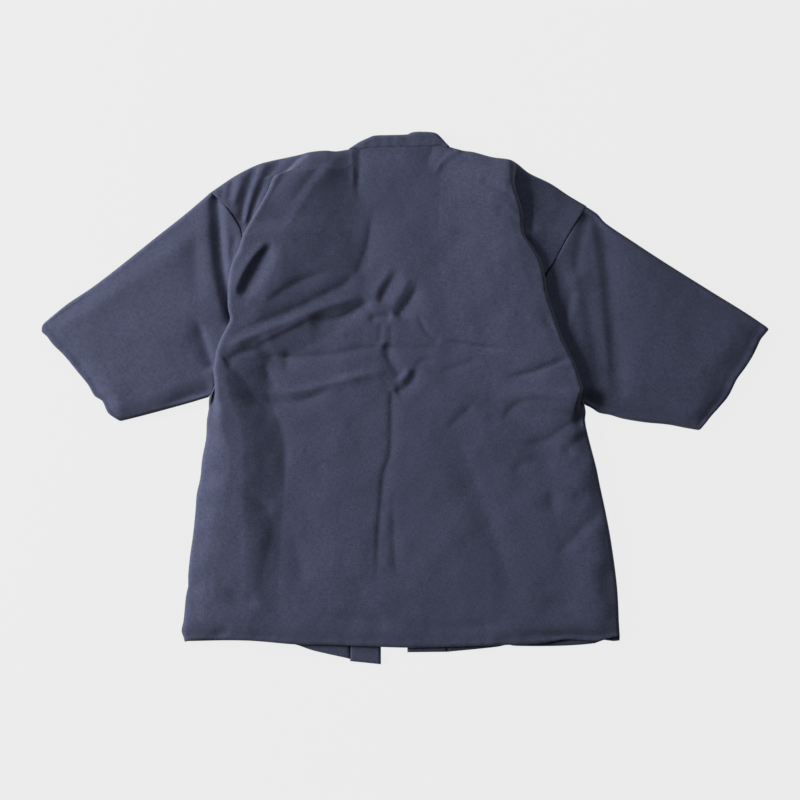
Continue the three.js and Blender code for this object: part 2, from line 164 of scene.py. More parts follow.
# Creases. The columns are depth (a ridge is negative), half-width to the left and to
# the right of the line as it runs, the shares of its length that fade in and out, and its points: x, y.
# The first table is the back's main face, the second the layer between each pleat and the sleeve.
BACK_CREASES = [
    (6, 15, 8, 0.3, 0.15, [(-194, 234), (-204, 221), (-215, 206), (-225, 188), (-236, 168),
                  (-245, 147)]),
    (-0.6, 10, 5, 0.15, 0.1, [(-180, 230), (-191, 207), (-206, 180), (-222, 155), (-239, 132)]),
    (-3, 6, 8, 0.2, 0.2, [(-203, 234), (-221, 216), (-236, 195), (-248, 170), (-254, 150)]),
    (1.5, 44, 40, 0.1, 0.2, [(-77, 378), (-74, 335), (-71, 297), (-66, 249), (-62, 210), (-59, 170),
                  (-56, 144)]),
    (3.4, 14, 18, 0.15, 0.3, [(-147, 369), (-167, 348), (-183, 327), (-198, 305), (-212, 282)]),
    (-1.2, 10, 10, 0.15, 0.3, [(-99, 363), (-125, 330), (-149, 297), (-170, 264), (-191, 234)]),
    (1.3, 8, 8, 0.3, 0.3, [(-119, 357), (-140, 330), (-161, 303), (-176, 285)]),
    (-1.4, 44, 40, 0.25, 0.25, [(-93, -3), (-98, -63), (-101, -123), (-104, -183), (-107, -258),
                  (-107, -333)]),
    (1.4, 8, 5, 0.05, 0.5, [(-68, 381), (-69, 342), (-71, 315), (-68, 285)]),
    (1.8, 6, 14, 0.1, 0.4, [(-74, 183), (-65, 204), (-56, 230), (-51, 260), (-48, 290)]),
    (2.6, 7, 12, 0.3, 0.12, [(-266, 90), (-240, 102), (-203, 117), (-173, 129), (-143, 143),
                  (-113, 158), (-90, 171), (-72, 188)]),
    (2.4, 6, 12, 0.3, 0.3, [(-215, 138), (-195, 150), (-173, 165), (-143, 180), (-105, 192)]),
    (-2.6, 7, 7, 0.12, 0.2, [(-270, 77), (-240, 87), (-215, 98), (-158, 120), (-113, 138), (-59, 153)]),
    (3.6, 8, 10, 0.25, 0.15, [(-146, 117), (-120, 117), (-98, 119), (-80, 128), (-65, 137), (-48, 149)]),
    (-3.2, 8, 36, 0.25, 0.3, [(-221, 83), (-188, 96), (-158, 111), (-131, 123)]),
    (2.4, 5, 14, 0.2, 0.2, [(-225, 75), (-195, 89), (-165, 104), (-140, 116)]),
    (2.6, 6, 9, 0.03, 0.3, [(-270, 55), (-248, 66), (-225, 72), (-206, 66), (-179, 61)]),
    (2.6, 24, 9, 0.5, 0.35, [(-176, 81), (-176, 57), (-179, 36)]),
    (1.9, 4, 7, 0.1, 0.1, [(-215, 62), (-158, 62), (-105, 66), (-68, 74), (-30, 77)]),
    (1.4, 5, 9, 0.1, 0.3, [(-33, 77), (7, 75), (55, 74)]),
    (2.8, 3, 5, 0.4, 0.3, [(45, 90), (75, 83), (112, 77), (136, 74), (156, 69)]),
    (1.4, 5, 5, 0.3, 0.1, [(18, 128), (24, 114), (31, 101), (42, 90), (54, 86)]),
    (3.4, 12, 6, 0.6, 0.12, [(-5, 197), (-14, 185), (-23, 171), (-32, 156), (-38, 140)]),
    (-1.3, 6, 7, 0.3, 0.2, [(-18, 200), (-29, 183), (-39, 167), (-48, 149)]),
    (3.8, 14, 7, 0.6, 0.12, [(18, 183), (16, 165), (9, 149), (-2, 134), (-15, 120)]),
    (-1.6, 6, 8, 0.3, 0.2, [(7, 185), (0, 168), (-9, 152), (-21, 135)]),
    (3, 6, 7, 0.3, 0.2, [(-59, 117), (-38, 122), (-18, 123)]),
    (-1.2, 4, 4, 0.1, 0.4, [(-80, 372), (-78, 339), (-78, 309)]),
    (0.9, 4, 4, 0.2, 0.2, [(-36, 114), (-39, 78)]),
    (0.9, 4, 4, 0.2, 0.2, [(-21, 111), (-21, 78)]),
    (-1.2, 3, 3, 0.3, 0.3, [(-45, 84), (-36, 81), (-27, 86)]),
    (2.8, 10, 7, 0.15, 0.15, [(-32, 81), (-24, 60), (-14, 41), (-5, 27)]),
    (3, 10, 6, 0.35, 0.15, [(18, 53), (13, 32), (3, 18), (-17, 9)]),
    (1.3, 4, 6, 0.3, 0.3, [(13, 47), (28, 56), (45, 57)]),
    (-1.8, 5, 5, 0.2, 0.2, [(7, 48), (1, 35), (-11, 23)]),
    (1.5, 9, 14, 0.06, 0.15, [(-272, 56), (-251, 41), (-236, 18), (-221, -3), (-203, -19),
                  (-186, -40), (-179, -70), (-179, -108), (-182, -147)]),
    (0.8, 20, 8, 0.2, 0.2, [(-206, -159), (-198, -177), (-200, -205), (-207, -243), (-222, -291)]),
    (1.6, 8, 9, 0.3, 0.3, [(-251, -129), (-230, -145), (-213, -157), (-197, -177)]),
    (0.9, 5, 6, 0.3, 0.3, [(-267, -7), (-245, -13), (-215, -12)]),
    (1.7, 6, 8, 0.2, 0.2, [(-210, 56), (-204, 33), (-191, 12)]),
    (2.2, 7, 10, 0.25, 0.25, [(-215, 8), (-198, -3), (-177, -6), (-155, -4), (-134, 3), (-107, 15)]),
    (-2.4, 6, 8, 0.2, 0.3, [(-203, 11), (-173, 9), (-143, 14), (-105, 24), (-68, 32), (-23, 42)]),
    (-1.4, 6, 20, 0.3, 0.3, [(-105, 27), (-68, 36), (-23, 44)]),
    (1.7, 10, 4, 0.02, 0.35, [(-21, 12), (-21, -18), (-21, -48), (-23, -85), (-32, -112), (-36, -153),
                  (-41, -213), (-44, -294)]),
    (1.3, 9, 6, 0.4, 0.2, [(-18, -132), (-18, -198), (-15, -243), (-11, -271)]),
    (2.8, 9, 9, 0.45, 0.3, [(-272, -279), (-258, -294), (-246, -301), (-231, -305), (-212, -306)]),
    (1.8, 8, 7, 0.35, 0.3, [(-291, -358), (-282, -354), (-275, -351), (-266, -346), (-257, -342)]),
    (2.6, 8, 10, 0.4, 0.3, [(-111, -319), (-75, -328), (-45, -334), (-17, -345)]),
    (1.4, 14, 14, 0.3, 0.3, [(-170, -195), (-158, -243), (-149, -285)]),
    (1.6, 8, 8, 0.3, 0.3, [(43, 380), (37, 360), (31, 342)]),
    (-1.7, 4, 4, 0.1, 0.3, [(84, 372), (66, 362), (54, 350), (40, 332)]),
    (-1.2, 6, 6, 0.2, 0.2, [(103, 336), (117, 333), (130, 329), (142, 323), (157, 315)]),
    (1.5, 6, 8, 0.2, 0.2, [(109, 329), (124, 321), (138, 314), (151, 305), (165, 294)]),
    (-1.2, 6, 6, 0.2, 0.2, [(121, 303), (133, 294), (145, 287), (159, 279), (172, 272)]),
    (1.5, 6, 7, 0.2, 0.2, [(133, 287), (147, 278), (157, 270), (169, 261), (181, 251)]),
    (1.2, 5, 5, 0.3, 0.3, [(204, 125), (216, 107), (229, 89)]),
    (1, 4, 5, 0.3, 0.3, [(162, 129), (187, 116)]),
    (0.9, 4, 5, 0.3, 0.3, [(130, 146), (154, 128)]),
    (3.4, 5, 7, 0.35, 0.3, [(141, 29), (169, 34), (192, 40), (214, 48), (235, 56), (258, 62)]),
    (1.6, 5, 6, 0.4, 0.2, [(207, 41), (232, 42), (255, 41)]),
    (2.3, 6, 13, 0.25, 0.35, [(144, -37), (156, -18), (171, -7), (193, -3), (220, -6), (253, -9)]),
    (2, 7, 13, 0.3, 0.15, [(160, -63), (181, -70), (210, -63), (235, -46), (270, -25)]),
    (2.4, 10, 11, 0.3, 0.2, [(232, -88), (250, -70), (276, -52)]),
    (1.6, 8, 13, 0.3, 0.3, [(154, -121), (171, -102), (190, -93), (210, -97), (229, -109)]),
    (1.3, 6, 9, 0.4, 0.35, [(55, -54), (75, -34), (90, -21), (109, -3)]),
    (1.3, 5, 7, 0.3, 0.3, [(46, 36), (82, 48), (115, 62)]),
    (2.6, 20, 26, 0.25, 0.25, [(72, -40), (90, -93), (112, -153), (135, -213), (159, -276)]),
    (1.9, 12, 12, 0.4, 0.4, [(213, -132), (219, -153), (222, -180)]),
    (1.8, 10, 10, 0.4, 0.4, [(247, -141), (262, -148), (277, -153)]),
    (2.3, 9, 10, 0.3, 0.2, [(223, -240), (247, -214), (268, -192), (294, -171)]),
    (1.5, 10, 10, 0.4, 0.4, [(199, -301), (232, -309), (259, -306)]),
    (1.8, 8, 10, 0.3, 0.3, [(-14, -337), (52, -342), (112, -340), (172, -331)]),
    (2.2, 6, 7, 0.2, 0.1, [(166, -352), (217, -355), (270, -354), (312, -358)]),
]
UNDER_CREASES = [
    (-5, 48, 8, 0.1, 0.1, [(154, 365), (166, 320), (172, 282), (192, 230), (210, 177), (217, 132)]),
    (3.4, 5, 7, 0.1, 0.1, [(-219, 353), (-231, 323), (-240, 294), (-246, 261)]),
    (-2.2, 4, 4, 0.1, 0.1, [(-209, 357), (-222, 324), (-233, 290), (-240, 258)]),
    (4, 5, 8, 0.1, 0.1, [(-176, 365), (-195, 342), (-215, 312), (-227, 282), (-236, 255)]),
    (2.6, 5, 6, 0.2, 0.2, [(-255, 339), (-260, 315), (-264, 294)]),
    (1.5, 4, 5, 0.2, 0.2, [(-273, 323), (-275, 294)]),
    (-1.8, 4, 5, 0.2, 0.2, [(-243, 339), (-249, 312), (-257, 285)]),
    (4.4, 8, 12, 0.1, 0.1, [(171, 357), (177, 320), (181, 282), (187, 243)]),
    (-1.6, 4, 5, 0.3, 0.3, [(184, 336), (183, 315), (187, 297)]),
]
SLEEVE_CREASES = {
    -1: [
        (-2.2, 6, 14, 0.12, 0.12, [(-294, 324), (-293, 275), (-291, 237), (-287, 192), (-279, 155),
                      (-267, 114)]),
        (7, 8, 11, 0.06, 0.06, [(-285, 324), (-281, 279), (-278, 230), (-272, 185), (-264, 147),
                      (-252, 102)]),
        (-2, 3, 4, 0.2, 0.2, [(-269, 278), (-264, 222), (-260, 162), (-254, 129)]),
        (2.4, 5, 5, 0.3, 0.3, [(-252, 246), (-257, 225), (-260, 201)]),
        (2.2, 14, 14, 0.3, 0.3, [(-311, 255), (-314, 207), (-309, 140)]),
        (4.8, 6, 13, 0.4, 0.08, [(-315, 126), (-303, 95), (-296, 72), (-285, 42)]),
        (4, 14, 18, 0.5, 0.1, [(-368, -18), (-330, -1), (-284, 9)]),
    ],
    1: [
        (-3, 40, 14, 0.2, 0.12, [(241, 215), (252, 162), (264, 102), (279, 45), (292, -6)]),
        (5, 22, 40, 0.1, 0.2, [(283, 294), (292, 264), (300, 230), (304, 192), (307, 155), (312, 117),
                      (316, 65), (322, -15)]),
        (0.9, 8, 7, 0.06, 0.3, [(279, 294), (288, 264), (295, 230), (300, 192), (303, 155), (306, 117),
                      (310, 65), (316, -15)]),
        (-1, 5, 6, 0.2, 0.2, [(273, 288), (280, 245), (289, 177), (297, 102), (304, 12)]),
        (2.4, 8, 10, 0.15, 0.2, [(274, 284), (265, 249), (258, 215), (256, 177)]),
        (2.2, 10, 18, 0.3, 0.15, [(258, 195), (271, 147), (280, 80), (288, 20), (300, -30)]),
        (2.8, 5, 9, 0.2, 0.1, [(255, 174), (246, 147), (238, 117), (229, 78)]),
        (-1, 5, 5, 0.3, 0.3, [(258, 201), (253, 162), (249, 129), (243, 90)]),
        (2.6, 14, 14, 0.2, 0.5, [(250, -15), (277, -12), (316, -27)]),
    ],
}


# Stitching lines: depth of the ditch, distance from the edge, half-width
HEM_STITCHES = (0.9, 8.5, 1.8)
CUFF_STITCHES = (1.0, 9.0, 2.2)

# Rounding beside the back's open side edges, left and right, and beside its seams
OPEN_ROUND = {-1: 9, 1: 6}
SEAM_ROUND = 3

# Least thickness of the back's wall under a crease, and near the seam
LEAST_WALL = 1.4
LEAST_SEAM_WALL = 0.6


def settings():
    return bpy.context.scene.hanten


def wall_sizes():
    """Padded wall and layer gap in millimetres, the unit of the tables."""
    cloth = settings()
    return cloth.pad / MM, cloth.gap / MM


# Curves and fields

def smooth_line(points, step=4.0):
    """Centripetal curve through given points, with a point about every step."""
    points = np.asarray(points, float)
    if len(points) == 2:
        points = np.array([points[0], points.mean(0), points[1]])
    padded = np.vstack([2 * points[0] - points[1], points, 2 * points[-1] - points[-2]])
    curve = []
    for i in range(1, len(padded) - 2):
        before, start, end, after = padded[i - 1:i + 3]
        span = np.linalg.norm(end[:2] - start[:2])
        count = max(int(span / step), 1)
        t = np.linspace(0, 1, count, endpoint=False)[:, None]
        into = (end - before) * span / (span + np.linalg.norm((start - before)[:2]) + 1e-9)
        out = (after - start) * span / (span + np.linalg.norm((after - end)[:2]) + 1e-9)
        curve.append((2 * t**3 - 3 * t**2 + 1) * start + (t**3 - 2 * t**2 + t) * into
                     + (3 * t**2 - 2 * t**3) * end + (t**3 - t**2) * out)
    curve.append(padded[-2][None])
    return np.vstack(curve)


def along(points, t):
    """Points of a line at shares t of its length."""
    curve = smooth_line(points)
    length = np.r_[0, np.cumsum(np.linalg.norm(np.diff(curve, axis=0), axis=1))]
    return np.stack([np.interp(t, length / length[-1], axis) for axis in curve.T], 1)


def ease(t):
    t = np.clip(t, 0, 1)
    return t * t * (3 - 2 * t)


def soft_noise(x, y, size, seed):
    """Smooth random field, about -1 to 1, with lumps of the given size."""
    cells = np.random.default_rng(seed).uniform(-1, 1, (257, 257))
    u = x / size + 128
    v = y / size + 128
    i = np.clip(np.floor(u).astype(int), 0, 255)
    j = np.clip(np.floor(v).astype(int), 0, 255)
    a = ease(u - i)
    b = ease(v - j)
    low = cells[i, j] * (1 - a) + cells[i + 1, j] * a
    high = cells[i, j + 1] * (1 - a) + cells[i + 1, j + 1] * a
    return low * (1 - b) + high * b


def crease(x, y, depth, left, right, fade_in, fade_out, points):
    """Soft trough along a line; it fades in and out over shares of its length."""
    line = smooth_line(points, 5.0)
    reach = 3 * max(left, right)
    low = line.min(0) - reach
    high = line.max(0) + reach
    near = (x > low[0]) & (x < high[0]) & (y > low[1]) & (y < high[1])
    px = x[near]
    py = y[near]
    best = np.full(px.shape, 1e9)
    side = np.zeros(px.shape)
    share = np.zeros(px.shape)
    for i in range(len(line) - 1):
        (ax, ay), (bx, by) = line[i], line[i + 1]
        dx, dy = bx - ax, by - ay
        t = np.clip(((px - ax) * dx + (py - ay) * dy) / (dx * dx + dy * dy), 0, 1)
        ox, oy = px - ax - t * dx, py - ay - t * dy
        distance = np.hypot(ox, oy)
        closer = distance < best
        best = np.where(closer, distance, best)
        side = np.where(closer, dx * oy - dy * ox, side)
        share = np.where(closer, (i + t) / (len(line) - 1), share)
    fade = ease(share / fade_in) * ease((1 - share) / fade_out)
    width = np.where(side > 0, left, right) * (0.55 + 0.45 * fade)
    field = np.zeros(x.shape)
    field[near] = -depth * fade * np.exp(-(best / width) ** 1.5)
    return field


def creased(x, y, table):
    return sum((crease(x, y, *row) for row in table), np.zeros(x.shape))


def padding(x, y, seed):
    """Slight unevenness of the wadding."""
    return (1.5 * soft_noise(x, y, 74, seed) + 0.75 * soft_noise(x, y, 31, seed + 1)
            + 0.22 * soft_noise(x, y, 13, seed + 2))


def stitch_ditch(from_edge, depth, place, width):
    """Ditch that a line of stitching pulls into the padding."""
    return -depth * np.exp(-((from_edge - place) / width) ** 2)


def rounded(distance, radius):
    """Share of the wall's half thickness at a distance from a sewn edge."""
    t = np.clip(distance / radius, 0, 1)
    return np.sqrt(np.clip(1 - (1 - t) ** 2, 0, 1))


# Body

SHOULDER_CURVE = smooth_line(SHOULDER)


def shoulder_y(x):
    return np.interp(x, SHOULDER_CURVE[:, 0], SHOULDER_CURVE[:, 1])


def row_y(q, x, hem):
    """Y on row q: the shoulder is -UPPER_SPAN, whole rows start at 0 and the hem is HEM_LEVEL."""
    upper = shoulder_y(x) + (LEVEL_Y - shoulder_y(x)) * (1 + q / UPPER_SPAN)
    level = LEVEL_Y - np.minimum(q, LOWER_LEVEL)
    share = np.clip((q - LOWER_LEVEL) / (HEM_LEVEL - LOWER_LEVEL), 0, 1)
    hem_y = np.interp(x, hem[:, 0], hem[:, 1])
    lower = level + (hem_y - level) * share
    return np.where(q < 0, upper, lower)


def edge_on_rows(edge, hem):
    """An edge's own columns as functions of the row."""
    edge = smooth_line(edge)
    x, y = edge[:, 0], edge[:, 1]
    top = shoulder_y(x)
    bottom = LEVEL_Y - LOWER_LEVEL
    hem_y = np.interp(x, hem[:, 0], hem[:, 1])
    q = np.where(y > LEVEL_Y, UPPER_SPAN * ((top - y) / (top - LEVEL_Y) - 1), LEVEL_Y - y)
    low = LOWER_LEVEL + (HEM_LEVEL - LOWER_LEVEL) * (bottom - y) / (bottom - hem_y)
    q = np.where(y < bottom, low, q)
    order = np.argsort(q)
    return [q[order]] + [column[order] for column in (edge[:, 0], *edge[:, 2:].T)]


def open_share(rows):
    """0 beside the armhole and 1 down the open side."""
    return ease((rows - OPEN_ROW) / 25)


def edge_steps(length, step, rim=(0, 0.5, 1.2, 2.4, 4.2, 6.6, 10)):
    """Distances from 0 to length, close together at both ends."""
    rim = np.array(rim, float)
    inner = np.linspace(rim[-1], length - rim[-1], max(int((length - 2 * rim[-1]) / step), 2) + 1)
    return np.r_[rim[:-1], inner, length - rim[:-1][::-1]]


# Columns across half the back: the main face, each bend of the pleat, the run between the bends, and
# the layer from the pleat to the seam
MAIN_COLUMNS = 108
BEND_STEPS = 6
RUN_STEPS = 3
LOW_COLUMNS = 26
FIRST_LOW = MAIN_COLUMNS + 2 * BEND_STEPS + RUN_STEPS


def bend_path(turn, run, radius, steps):
    """A pleat's path from its outer edge in and out again, from 0, 0: s and z."""
    chord = 2 * radius * np.sin(np.pi / 2 / steps)
    share = (np.arange(steps) + 0.5) / steps
    angle = np.r_[turn * share, np.full(RUN_STEPS, turn), turn * share[::-1]]
    length = np.r_[np.full(steps, chord), np.full(RUN_STEPS, run / RUN_STEPS), np.full(steps, chord)]
    s = np.r_[0, np.cumsum(length * np.cos(angle))]
    z = np.r_[0, -np.cumsum(length * np.sin(angle))]
    return s, z


def back_section(side, rows, pad, gap):
    """Middle of the wall across half the back, centre to seam: distance and height on each row."""
    hem = smooth_line(BACK_HEM)
    fold_q, fold_x, fold_run, fold_turn = edge_on_rows(LEFT_FOLD if side < 0 else RIGHT_FOLD, hem)
    seam_q, seam_x = edge_on_rows(LEFT_SEAM if side < 0 else RIGHT_SEAM, hem)
    half = pad / 2
    radius = (pad + gap) / 2
    low = half + pad + gap
    ss, zs = [], []
    for q in rows:
        seam = side * (np.interp(q, seam_q, seam_x) - CENTRE_X)
        fold = side * (np.interp(q, fold_q, fold_x) - CENTRE_X)
        run = np.interp(q, fold_q, fold_run)
        turn = np.radians(np.interp(q, fold_q, fold_turn))
        if q > fold_q[-1]:
            # Below the pleat its columns go on, and move in from the left edge
            fold = seam - 20 - (18 if side < 0 else 0) * ease((q - fold_q[-1]) / 45)
        s, z = bend_path(turn, run, radius, BEND_STEPS)
        foot, top, least, share_at_top = rise_on_row(side, q)
        high = low + max(-z[-1], least)
        start = min(fold - radius - half, seam - s[-1] - 4)
        top = min(top, start - run - 2)
        main = np.linspace(0, start, MAIN_COLUMNS)
        climb = np.clip((main - foot) / (top - foot), 0, 1)
        climb = share_at_top * (0.4 * ease(climb) + 0.6 * climb)
        last_climb = (1 - share_at_top) * np.clip((main - top) / (start - top), 0, 1)
        main_z = low + (high - low) * (climb + last_climb)
        inner = start + s[-1]
        tail = 1 - (1 - np.linspace(0, 1, LOW_COLUMNS + 1)[1:]) ** 1.6
        out = inner + (seam - inner) * tail
        outer = np.r_[start + s[1:], out]
        falling = np.r_[high + z[1:], np.full(LOW_COLUMNS, high + z[-1])]
        share = np.clip((outer - start) / (seam - start), 0, 1)
        slump = ease((q - OPEN_ROW - 5) / 40) * (side < 0)
        fallen = (1 - slump) * (1 - np.sqrt(1 - share**2)) + slump * share**1.4
        falling = falling - (high + z[-1] - low) * fallen
        ss.append(np.r_[main, outer])
        zs.append(np.r_[main_z, falling])
    return np.array(ss), np.array(zs)


def rise_on_row(side, q):
    """Foot and top of the body's rise on row q, measured from the centre, and its other values."""
    y, foot, top, least, share_at_top = np.array(RISES[side][::-1], float).T
    level = LEVEL_Y - q if q > 0 else LEVEL_Y - q * 1.15
    columns = (foot, top, least, share_at_top)
    foot, top, least, share_at_top = (np.interp(level, y, column) for column in columns)
    return abs(foot - CENTRE_X), abs(top - CENTRE_X), least, share_at_top


def section_normals(s, z):
    """Unit normals of each row's section, across and upwards."""
    ds = np.gradient(s, axis=1)
    dz = np.gradient(z, axis=1)
    length = np.hypot(ds, dz) + 1e-9
    return -dz / length, ds / length


def back_surfaces(pad, gap):
    """Upper and under faces of the back as two grids of points."""
    hem = smooth_line(BACK_HEM)
    # Rows lie close together over the creased part, and an odd count lets the under face skip every
    # second one
    creased_span = 460
    creased_rows = edge_steps(creased_span + 10, 2.7)[:-7]
    plain_rows = creased_span + edge_steps(UPPER_SPAN + HEM_LEVEL - creased_span, 4.6)[6:]
    rows = np.r_[creased_rows, plain_rows] - UPPER_SPAN
    rows = np.delete(rows, 180) if len(rows) % 2 == 0 else rows
    half = pad / 2
    column = np.arange(FIRST_LOW + LOW_COLUMNS)
    into_bend = np.clip(1 - (column - MAIN_COLUMNS) / BEND_STEPS, 0, 1)
    on_main = np.where(column < MAIN_COLUMNS, 1.0, into_bend)
    on_low = ease((column - FIRST_LOW) / 3)
    from_shoulder = rows + UPPER_SPAN
    from_hem = HEM_LEVEL - rows
    faces = []
    for direction in (1, -1):
        parts = []
        pleated = []
        for side in (-1, 1):
            s, z = back_section(side, rows, pad, gap)
            start = s[:, MAIN_COLUMNS - 1:MAIN_COLUMNS]
            turned = s.argmax(1) < MAIN_COLUMNS + BEND_STEPS + 1
            unfolded = ease((s[:, -1] - s.max(1) + 12) / 10)[:, None]
            flat = unfolded * ease((rows - OPEN_ROW - 5) / 25)[:, None]
            over = on_main + (1 - on_main) * flat
            beneath = on_low * (1 - flat)
            pleated.append((s > start - 16) & turned[:, None])
            ns, nz = section_normals(s, z)
            open_side = open_share(rows)[:, None]
            to_seam = s[:, -1:] - s
            # Beside the armhole, only the layer next to the seam is near its edge
            to_seam[:, :FIRST_LOW] += 100 * (1 - ease((rows - OPEN_ROW) / 70))[:, None]
            seam_rim = rounded(to_seam, OPEN_ROUND[side] * open_side + SEAM_ROUND * (1 - open_side))
            seam_rim = 1 - (1 - seam_rim) * (0.3 + 0.7 * open_side)
            along_shoulder = CENTRE_X + side * s
            under_collar = ease((along_shoulder + 92) / 14) * ease((74 - along_shoulder) / 14)
            rim = seam_rim * (1 - (1 - rounded(from_shoulder, 9))[:, None] * (1 - 0.95 * under_collar))
            brim = rounded(from_hem, 5)[:, None]
            if direction > 0:
                reach = half * (-0.75 + 1.75 * rim) * brim
            else:
                reach = np.broadcast_to(-half * brim, s.shape)
            across = s + ns * reach
            across[:, FIRST_LOW:] = np.minimum(across[:, FIRST_LOW:], s[:, -1:])
            x = CENTRE_X + side * across
            y = row_y(rows[:, None], x, hem)
            height = z + nz * reach
            if direction > 0:
                field = creased(x, y, BACK_CREASES) * over + creased(x, y, UNDER_CREASES) * beneath
                field += padding(x, y, 3) * np.maximum(over, beneath) * rim * brim
                plumpness = 2.6 * ease(np.minimum(from_shoulder / 30, from_hem / 26))[:, None]
                inwards = 1 - open_side * (1 - ease(to_seam / 32))
                field += plumpness * np.maximum(over, beneath) * inwards
                side_pucker = 2.4 * soft_noise(x * 0.5, y, 24, 33) * np.exp(-((to_seam - 14) / 18) ** 2)
                field += side_pucker * open_side
                ditch = stitch_ditch(from_hem, *HEM_STITCHES)[:, None]
                pucker = 0.5 * soft_noise(x, y, 11, 21) * np.exp(-from_hem / 14)[:, None]
                height = height + field + ditch + pucker * brim
            parts.append(np.stack([x, y, height], 2))
        faces.append(np.concatenate([parts[0][:, :0:-1], parts[1]], 1))
    upper, under = faces
    main = np.r_[on_main[:0:-1], on_main] > 0.99
    floor = pad + gap
    over_pleat = np.concatenate([pleated[0][:, :0:-1], pleated[1]], 1)
    lowest = np.where(over_pleat, under[..., 2], floor) + 1.6
    upper[..., 2] = np.where(main, np.maximum(upper[..., 2], lowest), upper[..., 2])
    raised = np.clip(under[..., 2], floor, upper[..., 2] - LEAST_WALL)
    under[..., 2] = np.where(main, raised, under[..., 2])
    beside_seam = np.r_[on_low[:0:-1], on_low] > 0.99
    upper[..., 2] = np.where(beside_seam, np.maximum(upper[..., 2], floor + 0.7), upper[..., 2])
    lowered = np.minimum(under[..., 2], upper[..., 2] - LEAST_SEAM_WALL)
    under[..., 2] = np.where(beside_seam, lowered, under[..., 2])
    return upper, under[::2, ::2]


def front_surfaces(side, pad, hem_points):
    """Upper and under faces of a front; its edges reach a little way under the joints beside it."""
    hem = smooth_line(hem_points)
    back_hem = smooth_line(BACK_HEM)
    seam_q, seam_x = edge_on_rows(LEFT_SEAM if side < 0 else RIGHT_SEAM, back_hem)
    rows = edge_steps(UPPER_SPAN + HEM_LEVEL, 8) - UPPER_SPAN
    inner = COLLAR_LEGS[side][0] + side * 0.5
    open_side = open_share(rows)
    seam = np.interp(rows, seam_q, seam_x) + side * 0.9 * (1 - open_side)
    tail = edge_steps(100, 2.6, rim=(0, 0.25, 0.6, 1.2, 2.2, 3.6)) / 100
    x = inner + (seam[:, None] - inner) * tail[None]
    y = row_y(rows[:, None], x, hem)
    rim = 1 - (1 - rounded(np.abs(seam[:, None] - x), 8)) * open_side[:, None]
    rim = rim * rounded(rows + UPPER_SPAN, 8)[:, None]
    joint = rounded(np.abs(x - inner), 7)
    brim = rounded(HEM_LEVEL - rows, 4)[:, None]
    middle = pad / 2
    tongue = side * np.exp(-np.abs(x - inner) / 2)
    upper = np.stack([x, y, middle + middle * brim * (0.1 + 0.9 * joint)], 2)
    depth = middle * brim * (-0.8 + 1.8 * rim) * (0.6 + 0.4 * joint)
    under = np.stack([x + tongue, y, middle - depth], 2)
    return upper, under


# Sleeves

def sleeve_plan(side, s, t):
    """Plan of a sleeve: s runs from armhole to cuff and t from its top edge to its lower edge."""
    table = SLEEVES[side]
    seam = LEFT_SEAM if side < 0 else RIGHT_SEAM
    armhole = [point for point in seam if point[1] > table["low"][0][1]]
    armhole = [table["top"][0]] + armhole[1:] + [table["low"][0]]
    hole = along(armhole, t)
    cuff = along(table["cuff"], t)
    top = along(table["top"], s)
    low = along(table["low"], s)
    a = s[:, None, None]
    b = t[None, :, None]
    ruled = (1 - a) * hole[None] + a * cuff[None] + (1 - b) * top[:, None] + b * low[:, None]
    corner = ((1 - a) * (1 - b) * np.array(table["top"][0]) + a * (1 - b) * np.array(table["top"][-1])
              + (1 - a) * b * np.array(table["low"][0]) + a * b * np.array(table["low"][-1]))
    return ruled - corner


